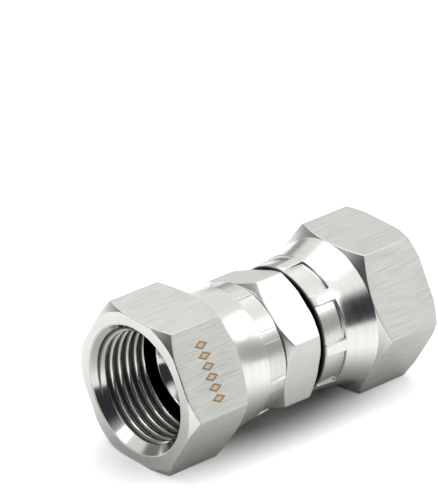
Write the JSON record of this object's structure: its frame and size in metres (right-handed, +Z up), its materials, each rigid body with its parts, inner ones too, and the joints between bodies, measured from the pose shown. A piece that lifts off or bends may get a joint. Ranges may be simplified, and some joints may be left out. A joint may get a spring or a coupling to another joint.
{
  "type": "swivel union fitting",
  "caption": "Straight swivel union: a hollow body with a centre hex and a crimped female swivel nut on each end, for joining two male flare fittings.",
  "frame": {"origin": "on the flow axis, half-way between the outer faces of the two nuts", "axes": "+X along the flow axis from the near nut to the far nut, +Z up, so that the union lies on a hex flat of each nut"},
  "size_m": [0.0498, 0.0278, 0.024],
  "materials": {
    "nut_stainless": "drawn bar flats with fine lengthwise streaks, turned and polished neck and bore",
    "body_stainless": "satin hex flats, finely turned neck, collar and conical seats"
  },
  "bodies": {
    "union_body": {"union_body": "body_stainless"},
    "near_nut": {"near_nut": "nut_stainless"},
    "far_nut": {"far_nut": "nut_stainless"}
  },
  "joints": [
    {"name": "near_nut_swivel", "type": "hinge", "parent": "union_body", "child": "near_nut", "pos_m": [-0.0142, 0, 0], "axis": [1, 0, 0], "continuous": true},
    {"name": "far_nut_swivel", "type": "hinge", "parent": "union_body", "child": "far_nut", "pos_m": [0.0134, 0, 0], "axis": [1, 0, 0], "continuous": true}
  ]
}
